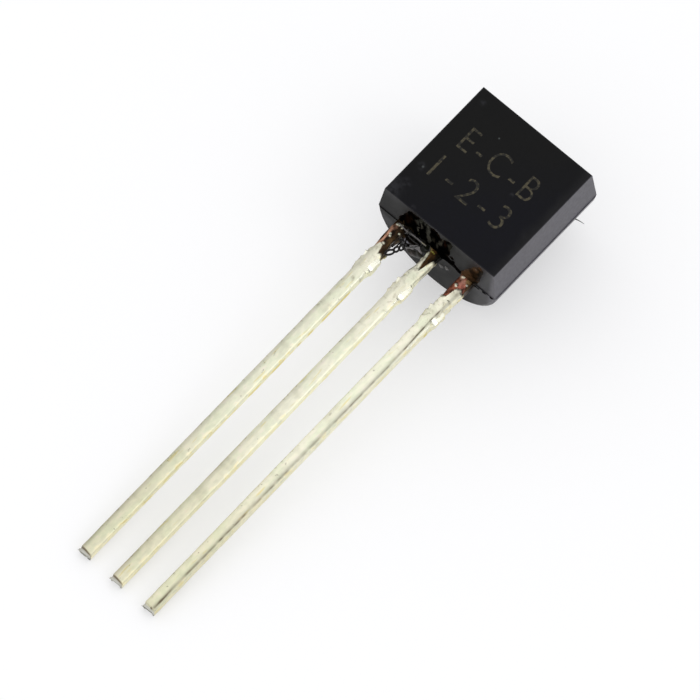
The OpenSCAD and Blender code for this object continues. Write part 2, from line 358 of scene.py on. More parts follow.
# in each kind, shades paint shade on the left of the lead and highlight on the right, and glints paint
# highlights on the bare root
leadKinds = [
    {"name": "emitter_lead_strip", "node": "emitter_lead", "centre": -package["pitch"], "seed": 3.1,
     "coatStart": [(-1, 1.2), (-0.8, 1.04), (-0.4, 0.86), (0, 0.92), (0.2, 1.1), (1, 1.3)],
     "groove": False, "edge": 0.38, "tipLine": (-1.0, 1.0), "facet": (1.33, 1.84), "highlightLine": 0.182,
     "root": (0.04, -0.05), "step": 0.9, "lip": 1.0, "longer": 0.0, "gold": 0.6,
     "goldRuns": [(2.62, 3.88, 1.0), (4.25, 4.5, 1.0), (4.8, 4.95, 1.0), (5.5, 6.1, 1.0), (6.6, 7.1, 0.9)],
     "shades": [(-1, 0.69), (-0.82, 0.60), (-0.55, 0.70), (-0.27, 0.84), (0, 0.88), (0.27, 0.90),
                (0.6, 0.95), (0.85, 1.0), (1, 1.08)],
     "dirt": [(-0.20, 1.05, 0.05, 0.16, 0.8), (-0.21, 1.45, 0.03, 0.12, 0.6), (0.05, 2.3, 0.03, 0.05, 0.5)],
     "bare": [(0.050, 0.024, 0.010), (0.36, 0.19, 0.125), (0.034, 0.018, 0.008), (0.05, 0.029, 0.011)],
     "beads": [(-0.13, 0.13, 0.045, 0.02), (-0.06, 0.11, 0.04, 0.014), (0.0, 0.07, 0.035, 0.014),
               (0.05, 0.14, 0.032, 0.014), (0.11, 0.33, 0.035, 0.016), (-0.09, 0.50, 0.045, 0.02),
               (-0.05, 0.56, 0.04, 0.016), (-0.04, 0.86, 0.05, 0.012), (-0.09, 0.94, 0.06, 0.012)],
     "glints": [((-1.4, 0.0, 0.19), 0.04, 0.36, (0.024, 0.014, 0.006)),
                ((-1.1, -0.05, 0.15), 0.02, 0.3, (0.008, 0.005, 0.003))]},
    {"name": "collector_lead_strip", "node": "collector_lead", "centre": 0.0, "seed": 17.7,
     "coatStart": [(-1, 0.1), (-0.8, 0.14), (-0.62, 0.34), (-0.48, 0.6), (-0.25, 0.76), (0.1, 0.8),
                   (0.35, 0.64), (0.7, 0.36), (1, 0.3)],
     "groove": False, "edge": 0.36, "tipLine": (-1.0, 1.0), "facet": (1.38, 1.95), "highlightLine": 0.182,
     "root": (0.05, 0.035), "step": 1.0, "lip": 1.0, "longer": 0.05, "gold": 0.35,
     "goldRuns": [(3.3, 3.9, 0.4), (5.0, 5.3, 0.5)],
     "shades": [(-1, 0.77), (-0.82, 0.68), (-0.55, 0.76), (-0.27, 0.88), (0, 0.91), (0.27, 0.91),
                (0.6, 0.95), (0.85, 1.02), (1, 1.08)],
     "dirt": [(-0.17, 0.30, 0.035, 0.06, 0.7), (-0.12, 0.46, 0.04, 0.07, 0.8), (-0.19, 0.60, 0.03, 0.05, 0.5),
              (0.23, 0.80, 0.03, 0.2, 0.6), (-0.03, 0.88, 0.06, 0.04, 0.5)],
     "bare": [(0.18, 0.13, 0.055), (0.085, 0.045, 0.013), (0.034, 0.016, 0.005), (0.005, 0.004, 0.002)],
     "beads": [],
     "glints": [((-0.09, -0.11, 0.18), 0.01, 0.04, (0.34, 0.30, 0.09)),
                ((-0.04, -0.11, 0.18), 0.01, 0.04, (0.40, 0.36, 0.07)),
                ((0.02, -0.12, 0.18), 0.01, 0.035, (0.30, 0.27, 0.05))]},
    {"name": "base_lead_strip", "node": "base_lead", "centre": package["pitch"], "seed": 31.3,
     "coatStart": [(-1, 0.92), (-0.5, 0.84), (-0.1, 0.56), (0.3, 0.52), (0.6, 0.50), (1, 0.54)],
     "groove": True, "edge": 0.12, "tipLine": (0.2, 0.45), "facet": (1.36, 1.86), "highlightLine": 0.165,
     "root": (0.0, 0.0), "step": 0.6, "lip": 0.3, "longer": 0.06, "gold": 0.4,
     "goldRuns": [(2.1, 2.25, 1.0)],
     "shades": [(-1, 0.84), (-0.82, 0.87), (-0.55, 0.97), (-0.27, 1.0), (0, 0.99), (0.27, 0.90),
                (0.45, 0.74), (0.62, 0.70), (0.85, 0.76), (1, 0.92)],
     "dirt": [(0.0, 1.12, 0.04, 0.04, 0.5), (0.14, 1.0, 0.05, 0.03, 0.4), (0.12, 0.66, 0.06, 0.07, 0.35)],
     "bare": [(0.15, 0.050, 0.028), (0.21, 0.070, 0.040), (0.34, 0.12, 0.085), (0.050, 0.028, 0.012)],
     "beads": [(-0.13, 0.10, 0.035, 0.006), (-0.09, 0.09, 0.035, 0.006), (-0.12, 0.42, 0.045, 0.018),
               (-0.09, 0.46, 0.04, 0.014), (0.14, 0.24, 0.042, 0.018)],
     "glints": [((1.36, -0.14, 0.19), 0.03, 0.13, (0.32, 0.20, 0.085)),
                ((1.40, -0.08, 0.17), 0.02, 0.08, (0.15, 0.09, 0.035)),
                ((1.14, -0.13, 0.19), 0.01, 0.10, (0.62, 0.46, 0.34)),
                ((1.26, -0.22, 0.19), 0.02, 0.11, (0.56, 0.27, 0.20)),
                ((1.22, -0.34, 0.19), 0.02, 0.09, (0.52, 0.22, 0.17))]},
]
# each layer lays one colour over the last where its noise is high: scale, detail, stretch, ramp, strength
solderLook = {
    "bright": (0.90, 0.88, 0.715), "green": (0.845, 0.865, 0.67), "pink": (0.89, 0.83, 0.71),
    "gold": (0.80, 0.68, 0.25), "flank": (1.0, 0.95, 0.70), "grimeAndShade": (0.13, 0.09, 0.055),
    "cut": (0.955, 0.95, 0.81), "end": (0.53, 0.525, 0.475), "dull": (0.70, 0.68, 0.53),
    "lower": (0.87, 0.855, 0.78), "speckle": (0.50, 0.45, 0.34), "specular": 0.15,
    "layers": [
        ("bright", 2.2, 3, (1, 0.5, 1), (0.35, 0.6), 1), ("pink", 9, 4, (1, 0.45, 1), (0.52, 0.72), 0.8),
        ("gold", 5, 2, (2.2, 0.22, 2.2), (0.62, 0.72), 0.55), ("grimeAndShade", 7, 5, (1, 0.8, 1), (0.66, 0.74), 0.5),
        ("speckle", 6, 3, (1, 0.8, 1), (0.55, 0.7), 0.5),
        ("dull", 1.0, 3, (0.8, 1.6, 0.8), (0.52, 0.7), 0.6)],
    "fineBump": 6e-6, "tornBump": 2.4e-5, "scratchBump": 2.5e-6,
}


leadMarks = ("coat", "grimeAndShade", "flank", "cut", "end", "shade", "gold")


def leadStations(length, inside):
    # Places of the rings along a lead: close together at the root and at the tip
    stations = []
    place = -inside
    while place < length - 0.004:
        stations.append(place)
        place += alongList([(0, 0.02), (2.2, 0.02), (3.5, 0.06), (13.4, 0.06), (13.9, 0.012)], place)
    return stations + [length]


def leadNoise(kind, row, place):
    # Noise along a lead, with a row of its own for each use
    return noise.noise(Vector((kind["seed"], row, place)))


def coatStart(kind, shape, side, top, across):
    ragged = noise.noise(Vector((side * 2.2, top * 2.2, kind["seed"]))) * shape["ragged"]
    if top < -0.3:
        return shape["underStart"] + ragged
    return alongList(kind["coatStart"], across) + ragged


def shoulderStart(kind, shape):
    return shape["shoulder"][0] + 0.03 * leadNoise(kind, 3, 3)


def pointedSteps(kind, shape, down):
    # The shear left a few pointed steps on the left edge
    height = 0.0
    for offset in (0.0, 0.2 + 0.012 * (kind["seed"] % 5), 0.46):
        past = down - shoulderStart(kind, shape) - offset
        height += math.exp(-past / shape["toothLength"]) * smoothStep(-0.025, 0.0, past) * (1 - offset)
    return height


def stripPoint(kind, shape, side, top, down, coated):
    # Cross place and normal on the bare strip, whose edges are sharper where nothing coats them
    softness = shape["bareSoftness"] + (shape["coatSoftness"] - shape["bareSoftness"]) * coated
    square = (abs(side) ** softness + abs(top) ** softness) ** (-1 / softness)
    x, z = square * side, square * top
    normal = Vector((abs(x) ** (softness - 1) * math.copysign(1, x),
                     abs(z) ** (softness - 1) * math.copysign(1, z))).normalized()
    last = shape["shoulder"][1]
    first = shoulderStart(kind, shape)
    shoulder = window((first - 0.03, first), (last - 0.15, last + 0.15), down)
    tooth = pointedSteps(kind, shape, down) if side < 0 else 0.0
    narrowed = smoothStep(*shape["narrowing"], down)
    halfWidth = shape["rootHalfWidth"] + (shape["halfWidth"] - shape["rootHalfWidth"]) * narrowed
    halfWidth -= shape["tipNarrow"] * smoothStep(5, 13, down)
    narrow, shift = kind["root"]
    root = window((0.0, 0.08), (0.7, 1.1), down)
    shoulderOut = shape["shoulderOut"] * shoulder * (shape["leftShoulder"] if side < 0 else 1.0)
    x *= halfWidth - narrow * root + shoulderOut + shape["tooth"] * tooth
    return x + shift * root, z * shape["halfThickness"], normal


def coatHeight(kind, shape, x, z, side, top, down, start, near):
    # An even layer with a bead at its start, lumps, and torn flakes that each tilt their own way
    seed = kind["seed"]
    size = shape["lump"] + (shape["rootLump"] - shape["lump"]) * near
    wave = noise.noise(Vector((side * 0.5, top * 0.5, seed)) * 3 + Vector((0, 0, down * 2.6)))
    wide, high, long = shape["flakeSize"]
    cell = Vector((x / wide, z / high, down / long + seed))
    middle = noise.voronoi(cell)[1][0]
    tilt = noise.cell_vector(middle * 7.3) - Vector((0.5, 0.5, 0.5))
    flake = tilt.dot(cell - middle) + tilt.x * 0.8
    wave += flake * (shape["flake"] + (shape["rootFlake"] - shape["flake"]) * near) / size
    bead = hill(down - start, shape["beadPlace"], shape["beadLength"]) * shape["bead"]
    return (shape["coat"] * smoothStep(start - 0.02, start + 0.03, down) + bead
            + size * wave + shape["slowLump"] * leadNoise(kind, 0, down * 0.7))


def solderDrops(kind, x, down):
    # Height of the small drops at one place, and how far they cover it
    height, cover = 0.0, 0.0
    for dropAcross, dropDown, radius, high in kind["beads"]:
        fall = math.exp(-((x - dropAcross) ** 2 + (down - dropDown) ** 2) / radius ** 2)
        height += high * fall
        cover = max(cover, smoothStep(0.35, 0.6, fall))
    return height, cover


def grooveLine(kind, shape, x, down, near, length):
    middle = alongList(shape["groovePlace"], down)
    middle += shape["grooveWaver"] * leadNoise(kind, 7, down * 3.0)
    line = hill(x, middle, alongList(shape["grooveWidth"], down))
    line *= smoothStep(0.9, 1.2, down) * (0.52 + 0.6 * leadNoise(kind, 5, down * 1.4)
                                          + (0.6 + 0.5 * near) * leadNoise(kind, 6, down * 5)
                                          + 0.35 * leadNoise(kind, 8, down * 7)
                                          + 0.2 * smoothStep(12.6, 13.6, down))
    return line * (1 - smoothStep(length - 0.12, length - 0.06, down))


def cutFace(kind, shape, x, z, down):
    # Cut face left on the right-hand edge where the tie bar was
    low, high = kind["facet"]
    lean = math.radians(shape["cutLean"])
    inside = window((low, low + 0.02), (high - 0.02, high), down)
    back = x * math.cos(lean) + z * math.sin(lean) - alongList(shape["cutDepth"], (down - low) / (high - low))
    back = max(0.0, back) * inside
    # the third value marks the cut face for its painted highlight
    return x - back * math.cos(lean), z - back * math.sin(lean), smoothStep(0.0, 0.006, back)


def topGrimeAndShade(kind, shape, x, side, down, length, coated):
    # Specks of dirt, and a dull strip along the left edge that widens towards the tip, partly dirt and partly
    # painted shade
    grimeAndShade = 0.0
    for dirtAcross, dirtDown, wide, long, strength in kind["dirt"]:
        fall = math.exp(-((x - dirtAcross) / wide) ** 2 - ((down - dirtDown) / long) ** 2)
        grimeAndShade = max(grimeAndShade, strength * fall)
    late = smoothStep(length * 0.75, length, down)
    strip = hill(side, shape["strip"], shape["stripWidth"] + shape["stripLate"] * late)
    strip *= kind["edge"]
    strip *= coated
    return max(grimeAndShade, strip * (0.6 + 0.2 * late + 0.9 * leadNoise(kind, 9, down * 1.1)))


def topShine(kind, shape, x, side, down):
    # Painted highlight on the face of the first pointed step, and a painted highlight line along the right
    # edge that fades down the lead
    shine = 0.0
    if side < -0.4:
        past = down - shoulderStart(kind, shape)
        shine = window((0.0, 0.03), (0.12, 0.22), past) * smoothStep(0.55, 0.7, -side) * kind["step"]
    fade = smoothStep(2.2, 3.4, down)
    edgeHighlight = hill(x, kind["highlightLine"], shape["edgeHighlightWidth"] + shape["edgeHighlightNear"] * (1 - fade))
    edgeHighlight *= smoothStep(kind["facet"][1], 2.0, down)
    edgeHighlight *= 1 - 0.55 * fade
    edgeHighlight *= 1 - 0.6 * smoothStep(4.0, 7.5, down + 2.5 * leadNoise(kind, 13, down * 1.7))
    return max(shine, edgeHighlight)


def goldRun(kind, top, down):
    # The coat is worn to gold in short runs on the lower half of the right flank
    gold = 0.0
    for low, high, strength in kind["goldRuns"]:
        run = strength * window((low - 0.04, low + 0.04), (high - 0.04, high + 0.04), down)
        gold = max(gold, run * (1 - smoothStep(0.25, 0.5, top)))
    return gold


def leadVertex(kind, shape, angle, down):
    # Cross place of one point of a lead's skin, with the marks that its material reads
    length = package["leadLength"] + kind["longer"]
    side, top = math.cos(angle), math.sin(angle)
    across = max(-1.0, min(1.0, side * 1.25))
    near = 1 - smoothStep(*shape["torn"], down)
    start = coatStart(kind, shape, side, top, across)
    coated = smoothStep(start - 0.02, start + 0.03, down)
    x, z, normal = stripPoint(kind, shape, side, top, down, coated)
    drop, cover = solderDrops(kind, x, down) if top > 0 else (0.0, 0.0)
    coated = max(coated, cover)
    grow = coated * coatHeight(kind, shape, x, z, side, top, down, start, near) + drop
    x += normal.x * grow
    z += normal.y * grow
    grimeAndShade = 0.0
    if kind["groove"] and top > 0:
        line = grooveLine(kind, shape, x, down, near, length)
        z -= shape["grooveDepth"] * line
        grimeAndShade = max(grimeAndShade, line)
    x, z, cut = cutFace(kind, shape, x, z, down)
    # the cutter rolled the upper edge of the tip down and left a thin lip at the end
    fold = length - alongList(shape["tipDark"], across)
    lip = smoothStep(length - 0.016, length - 0.006, down)
    if top > 0:
        roll = shape["tipRoll"] * smoothStep(fold - 0.03, fold + 0.02, down)
        z -= roll * min(1.0, top * 1.5) * (1 - 0.35 * across)
        lip = smoothStep(fold + 0.01, fold + 0.02, down)
    x -= shape["tipLip"] * kind["lip"] * smoothStep(length - 0.04, length - 0.01, down) * max(0.0, -side)
    low, high = kind["tipLine"]
    # painted shade: a dark line along the fold where the tip rolls down
    dark = hill(down, fold, shape["tipDarkWidth"]) * window((low - 0.15, low), (high, high + 0.15), across)
    grimeAndShade = max(grimeAndShade, 1.2 * dark * max(0.0, top))
    if top > 0:
        grimeAndShade = max(grimeAndShade, topGrimeAndShade(kind, shape, x, side, down, length, coated))
        cut = max(cut, topShine(kind, shape, x, side, down))
    # painted shade across the top, darker on the left and with painted highlight on the right, and an even
    # painted shade underneath
    shade = shape["underShade"]
    if top > 0 or side > 0.6:
        shade = alongList(kind["shades"], x / shape["halfWidth"])
    gold = goldRun(kind, top, down) if side > 0 else 0.0
    return x, z, {"coat": coated, "grimeAndShade": min(grimeAndShade, 1.0), "flank": side, "cut": cut, "end": lip,
                  "shade": shade, "gold": gold}


def buildLead(kind, shape, material):
    stations = leadStations(package["leadLength"] + kind["longer"], shape["insideBody"])
    bm = bmesh.new()
    bmesh.ops.create_cone(bm, cap_ends=True, cap_tris=False, segments=shape["sides"], radius1=1, radius2=1,
                          depth=1)
    bmesh.ops.delete(bm, geom=[f for f in bm.faces if f.normal.z > 0.9], context="FACES_ONLY")
    longEdges = [e for e in bm.edges if abs(e.verts[0].co.z - e.verts[1].co.z) > 0.5]
    bmesh.ops.subdivide_edges(bm, edges=longEdges, cuts=len(stations) - 2, use_grid_fill=True)
    layers = {name: bm.verts.layers.float.new(name) for name in leadMarks}
    for vertex in bm.verts:
        index = round((0.5 - vertex.co.z) * (len(stations) - 1))
        down = stations[index]
        angle = math.atan2(vertex.co.y, vertex.co.x)
        x, z, marks = leadVertex(kind, shape, angle, down)
        for name, layer in layers.items():
            vertex[layer] = marks[name]
        vertex.co = (kind["centre"] + x, -down, z)
    cap = [f for f in bm.faces if len(f.verts) > 4]
    bmesh.ops.inset_region(bm, faces=cap, thickness=0.03, depth=0)
    bmesh.ops.inset_region(bm, faces=cap, thickness=0.06, depth=-0.006)
    # the part cast into the body keeps the CAD form
    inner = fromNode(kind["node"])
    bmesh.ops.bisect_plane(inner, geom=inner.verts[:] + inner.edges[:] + inner.faces[:],
                           plane_co=(0, shape["insideBody"], 0), plane_no=(0, 1, 0), clear_inner=True)
    joinMesh(bm, meshFrom(inner, "inner"))
    rims = [e for e in bm.edges if e.is_boundary]
    bmesh.ops.bridge_loops(bm, edges=rims)
    piece = addPiece(bm, kind["name"], material)
    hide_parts(kind["node"])


def leadMaterial(kind, look):
    material, tree, shader = newMaterial(kind["name"] + "_finish", Specular_IOR_Level=look["specular"])
    point = packagePoint(tree)
    marks = {name: addNode(tree, "Attribute", attribute_name=name).outputs["Fac"] for name in leadMarks}
    offset = (kind["seed"], kind["seed"], 0)
    # the coat is torn and speckled near the body
    along = addNode(tree, "SeparateXYZ", {0: point}).outputs["Y"]
    uncut = combine(tree, "SUBTRACT", 1.0, marks["cut"])
    torn = times(tree, ramp(tree, along, -4.5, -1.6), uncut)
    fields = {}
    colour = look["green"]
    for name, scale, detail, stretch, (low, high), strength in look["layers"]:
        fields[name] = noiseField(tree, point, scale, detail, stretch, offset)
        share = ramp(tree, fields[name], low, high, 0, strength)
        if name == "speckle":
            share = times(tree, share, torn)
        colour = blendColours(tree, share, colour, look[name])
    fine, speckle = fields["pink"], fields["speckle"]
    flank = combine(tree, "ADD", marks["flank"], ramp(tree, fine, 0.3, 0.7, -0.25, 0.25))
    # painted reflection: the right flank is lighter
    colour = blendColours(tree, ramp(tree, flank, 0.62, 0.9, 0, 0.75), colour, look["flank"])
    spots = ramp(tree, noiseField(tree, point, 4, 2, (1, 0.35, 1), offset), 0.50, 0.57)
    spots = times(tree, spots, ramp(tree, flank, 0.78, 0.92, 0, kind["gold"]))
    colour = blendColours(tree, combine(tree, "MAXIMUM", spots, marks["gold"]), colour, look["gold"])
    # dark pits towards the left flank, partly dirt and partly painted shade
    pitsAndShade = ramp(tree, noiseField(tree, point, 8, 2, (1.2, 0.9, 1.2), offset), 0.59, 0.65)
    pitsAndShade = times(tree, pitsAndShade, ramp(tree, marks["flank"], -0.85, -0.45, 0.5, 0.0))
    colour = blendColours(tree, pitsAndShade, colour, look["grimeAndShade"])
    # painted shade and highlight across each lead, with a little random mottle
    shade = times(tree, marks["shade"], ramp(tree, fine, 0.3, 0.7, 0.93, 1.05))
    colour = blendColours(tree, 1.0, colour, shade, "MULTIPLY")
    colour = blendColours(tree, ramp(tree, along, -12, -6, 1, 0), colour, look["lower"], "MULTIPLY")
    colour = blendColours(tree, marks["end"], colour, look["end"])
    # bare copper at the root in bands across the width; the lighter bands are partly painted highlight
    metal = kind["bare"][0]
    for tone, (low, high) in zip(kind["bare"][1:], [(-0.8, -0.5), (-0.35, 0.0), (0.25, 0.6)]):
        metal = blendColours(tree, ramp(tree, flank, low, high), metal, tone)
    mottle = ramp(tree, noiseField(tree, point, 6, 4, (1.4, 0.5, 1), offset), 0.35, 0.65, 0.3, 1.6)
    metal = blendColours(tree, 1.0, metal, mottle, "MULTIPLY")
    # glints: painted highlights on the bare root, and darker spots on the first lead
    for centre, inner, outer, tone in kind["glints"]:
        metal = blendColours(tree, spot(tree, point, centre, inner, outer), metal, tone)
    colour = blendColours(tree, marks["coat"], metal, colour)
    # dirt, tarnish in the groove, and painted shade along the left edge and at the tip fold
    colour = blendColours(tree, times(tree, marks["grimeAndShade"], 0.85), colour, look["grimeAndShade"])
    # painted highlight on the cut faces, the first pointed step and the line along the right edge
    colour = blendColours(tree, marks["cut"], colour, look["cut"])
    tree.links.new(colour, shader.inputs["Base Color"])
    tree.links.new(ramp(tree, marks["coat"], 0, 1, 0.55, 0.72), shader.inputs["Metallic"])
    rough = combine(tree, "ADD", ramp(tree, fine, 0.3, 0.7, 0.3, 0.46),
                    times(tree, marks["grimeAndShade"], 0.2))
    rough = combine(tree, "SUBTRACT", rough, times(tree, marks["cut"], 0.12))
    tree.links.new(rough, shader.inputs["Roughness"])
    scratches = noiseField(tree, point, 16, 3, (2.4, 0.35, 2.4), offset)
    bump = addBump(tree, shader, fine, look["fineBump"])
    bump = addBump(tree, shader, times(tree, speckle, torn), look["tornBump"], bump)
    addBump(tree, shader, scratches, look["scratchBump"], bump)
    return material


for kind in leadKinds:
    buildLead(kind, leadShape, leadMaterial(kind, solderLook))
print("leads built")


# Pin key on the flat face, in plain letters and numbers

keyLook = {"rows": [("E-C-B", (-0.09, 2.88)), ("1-2-3", (-0.15, 1.63))], "capHeight": 0.83,
           "rowLength": 2.75, "raise": 0.003, "thin": -0.012, "spacing": 1.25, "curveSteps": 6,
           "colour": (0.062, 0.053, 0.031), "dark": (0.008, 0.0075, 0.006)}


def keyMaterial(look):
    material, tree, shader = newMaterial("key_mark", Roughness=0.62, Specular_IOR_Level=0.25)
    point = packagePoint(tree)
    mottle = ramp(tree, noiseField(tree, point, 9, 4), 0.40, 0.62)
    tree.links.new(blendColours(tree, mottle, look["dark"], look["colour"]), shader.inputs["Base Color"])
    addBump(tree, shader, noiseField(tree, point, 24, 3), 3e-6)
    return material


def buildKey(look):
    bm = bmesh.new()
    for words, centre in look["rows"]:
        curve = bpy.data.curves.new("row", "FONT")
        curve.body = words
        curve.align_x = "CENTER"
        curve.offset = look["thin"]
        curve.resolution_u = look["curveSteps"]
        curve.space_character = look["spacing"]
        curve.extrude = look["raise"]
        mesh = meshOfCurve(curve)
        low = Vector([min(v.co[i] for v in mesh.vertices) for i in range(3)])
        high = Vector([max(v.co[i] for v in mesh.vertices) for i in range(3)])
        scale = (look["rowLength"] / (high.x - low.x), look["capHeight"] / (high.y - low.y), 1)
        middle = (low + high) / 2
        place = (Matrix.Translation((*centre, package["flatZ"] + look["raise"] * 0.2))
                 @ Matrix.Diagonal((*scale, 1)) @ Matrix.Translation(-middle))
        mesh.transform(place)
        joinMesh(bm, mesh)
    bmesh.ops.remove_doubles(bm, verts=bm.verts, dist=0.0004)
    addPiece(bm, "pin_key", keyMaterial(look), smooth=False)


buildKey(keyLook)
print("pin key built")


# Residue round the leads: films on the lower end, a glassy web with loops, drops and slivers of flash

residueLook = {
    "sunk": 0.02, "hollow": -0.3, "footSlope": 0.15, "footHeight": (0.12, 0.34),
    "patchScale": 4.5, "mottleScale": 7, "waverScale": 5, "waver": (0.3, 0.1, 0.3),
    "grainScale": 10, "grainDepth": 8e-6, "roughSpread": 0.14,
}


def lowerEnd(x, z):
    # Place on the lower end of the body straight behind x and z, or None beside the body
    hit = bodySurface.ray_cast(Vector((x, -1, z)), Vector((0, 1, 0)))
    if hit[0] is None:
        return None
    return Vector((x, hit[0].y if hit[0].y < 0.2 else 0.03, z))


def buildFilm(look, material):
    bm = bmesh.new()
    (startA, endA), (startB, endB) = look["reach"]
    cells = [round((high - low) / look["cell"]) for low, high in look["reach"]]
    bmesh.ops.create_grid(bm, x_segments=cells[0], y_segments=cells[1], size=1)
    depth = bm.verts.layers.float.new("depth")
    footStart, footEnd = look.get("footReach", (startA - 0.2, endA))
    slope = residueLook["footSlope"]
    missing = set()
    for vertex in bm.verts:
        a = startA + (endA - startA) * (vertex.co.x + 1) / 2
        b = startB + (endB - startB) * (vertex.co.y + 1) / 2
        place = lowerEnd(a, b)
        if place is None:
            missing.add(vertex)
            place = Vector((a, 0, b))
        field = -look["level"]
        for middleA, middleB, reachA, reachB, height in look["blobs"]:
            field += height * math.exp(-((a - middleA) / reachA) ** 2 - ((b - middleB) / reachB) ** 2)
        ripple = Vector((a, b, look["seed"])) * look["ripple"]
        field += look["wild"] * (noise.noise(ripple) + 0.5 * noise.noise(ripple * 2.3))
        rise = math.sqrt(min(1.0, field)) if field > 0 else max(residueLook["hollow"], field)
        vertex[depth] = max(0.0, rise)
        foot = look.get("foot", 0.0) * window((footStart, footStart + slope), (footEnd, footEnd + slope), a)
        thick = look["thick"] + foot * (1 - smoothStep(*residueLook["footHeight"], b))
        vertex.co = place - Vector((0, thick * rise, 0))
    bmesh.ops.delete(bm, geom=[f for f in bm.faces if any(v in missing for v in f.verts)
                               or all(v[depth] <= 0 for v in f.verts)], context="FACES")
    shell = bmesh.ops.extrude_face_region(bm, geom=bm.faces[:], use_keep_orig=True)
    moved = [v for v in shell["geom"] if isinstance(v, bmesh.types.BMVert)]
    bmesh.ops.translate(bm, vec=(0, residueLook["sunk"], 0), verts=moved)
    addPiece(bm, look["name"], material)


filmLook = {
    "name": "resin_film", "reach": ((-1.62, 0.8), (0.035, 1.36)), "cell": 0.013, "seed": 1.3,
    "level": 0.42, "ripple": 5.0, "wild": 0.38, "thick": 0.028,
    "blobs": [
        (-1.34, 0.28, 0.14, 0.22, 1.1), (-1.22, 0.55, 0.14, 0.25, 1.1), (-1.06, 0.85, 0.15, 0.30, 1.1),
        (-0.95, 1.1, 0.18, 0.14, 1.0), (-1.05, 0.35, 0.26, 0.27, 1.2), (-0.75, 0.32, 0.2, 0.24, 1.2),
        (-0.52, 0.3, 0.18, 0.2, 1.2), (-0.7, 1.12, 0.2, 0.11, 0.9), (-0.45, 1.12, 0.14, 0.12, 0.9),
        (-0.3, 0.42, 0.18, 0.22, 1.1), (-0.2, 0.28, 0.16, 0.18, 1.0), (-0.2, 1.04, 0.18, 0.2, 1.2),
        (0.0, 0.92, 0.13, 0.18, 0.9), (0.12, 0.48, 0.15, 0.18, 1.1), (0.2, 0.22, 0.22, 0.24, 1.3),
        (0.36, 0.12, 0.16, 0.14, 1.2), (0.28, 0.94, 0.15, 0.24, 1.0), (0.42, 1.1, 0.1, 0.14, 0.8),
        (0.4, 0.62, 0.1, 0.22, 0.9), (0.58, 0.42, 0.07, 0.08, 0.8), (-0.62, 0.75, 0.26, 0.34, 1.0),
        (-0.3, 0.78, 0.2, 0.3, 1.0), (0.02, 0.66, 0.14, 0.18, 1.0)],
    "colour": (0.0005, 0.0005, 0.0005), "thin": (0.006, 0.004, 0.003), "rough": 0.4,
    "even": 0.45, "foot": 0.07, "footReach": (-0.3, 0.2), "squash": 0.35,
    # the grey patches are painted reflections on the black film, the brown ones its own colour
    "patchesAndSheen": [
        ((-1.13, 0.03, 0.60), 0.03, 0.15, (0.0062, 0.0025, 0.0011)),
        ((-1.04, 0.04, 0.90), 0.02, 0.11, (0.0065, 0.0032, 0.0016)),
        ((0.27, 0.04, 0.97), 0.02, 0.08, (0.0085, 0.0034, 0.0016)),
        ((-0.82, 0.03, 0.98), 0.02, 0.08, (0.030, 0.030, 0.024)),
        ((-0.69, 0.04, 1.15), 0.02, 0.09, (0.034, 0.034, 0.027)),
        ((-0.56, 0.04, 1.27), 0.02, 0.08, (0.030, 0.030, 0.026)),
        ((-0.73, 0.03, 0.60), 0.02, 0.07, (0.050, 0.047, 0.038)),
        ((-0.62, 0.03, 0.86), 0.02, 0.08, (0.052, 0.048, 0.039)),
        ((-0.40, 0.04, 1.06), 0.03, 0.12, (0.044, 0.043, 0.035)),
        ((-0.36, 0.03, 0.80), 0.04, 0.12, (0.046, 0.045, 0.037)),
        ((-0.32, 0.03, 0.52), 0.03, 0.10, (0.040, 0.038, 0.030)),
        ((-0.43, 0.02, 0.12), 0.01, 0.06, (0.018, 0.017, 0.012)),
        ((-0.16, 0.03, 0.68), 0.02, 0.08, (0.012, 0.011, 0.008)),
        ((0.15, 0.04, 1.16), 0.02, 0.07, (0.040, 0.037, 0.029)),
        ((0.09, 0.03, 0.80), 0.03, 0.08, (0.038, 0.035, 0.027)),
        ((0.0, 0.03, 0.50), 0.02, 0.07, (0.028, 0.026, 0.020)),
        ((0.46, 0.04, 1.05), 0.03, 0.13, (0.020, 0.019, 0.014)),
        ((-1.30, 0.02, 0.24), 0.02, 0.07, (0.022, 0.014, 0.007)),
        ((-0.72, 0.02, 0.31), 0.01, 0.03, (0.028, 0.028, 0.012)),
        ((-0.98, 0.02, 0.11), 0.02, 0.09, (0.014, 0.010, 0.005))],
}
stainLook = {
    "name": "flux_stain", "reach": ((0.95, 1.88), (-0.1, 1.36)), "cell": 0.012, "seed": 8.9,
    "level": 0.45, "ripple": 4.0, "wild": 0.28, "thick": 0.028, "foot": 0.09,
    "even": 0.5,
    "blobs": [(1.12, 0.08, 0.14, 0.14, 1.2), (1.24, 0.1, 0.16, 0.16, 1.2), (1.28, 0.36, 0.18, 0.2, 1.3),
              (1.4, 0.62, 0.18, 0.2, 1.3), (1.51, 0.88, 0.16, 0.18, 1.2), (1.62, 1.08, 0.11, 0.14, 1.1),
              (1.43, 0.14, 0.14, 0.2, 1.1), (1.54, 0.48, 0.12, 0.2, 1.0)],
    "colour": (0.055, 0.028, 0.013), "thin": (0.040, 0.022, 0.012), "shine": 0.01, "rough": 0.3,
    "patchesAndSheen": [
        ((1.66, 0.07, 1.0), 0.08, 0.26, (0.006, 0.004, 0.002)),
        ((1.55, 0.05, 0.45), 0.12, 0.26, (0.005, 0.003, 0.0015)),
        ((1.45, 0.04, 0.12), 0.10, 0.22, (0.005, 0.003, 0.0012)),
        ((1.60, 0.05, 0.75), 0.10, 0.22, (0.006, 0.004, 0.002)),
        ((1.38, 0.05, 0.60), 0.08, 0.25, (0.008, 0.0045, 0.002)),
        ((1.28, 0.05, 0.34), 0.01, 0.10, (0.012, 0.007, 0.003)),
        ((1.42, 0.05, 0.92), 0.01, 0.07, (0.10, 0.075, 0.06))],
}
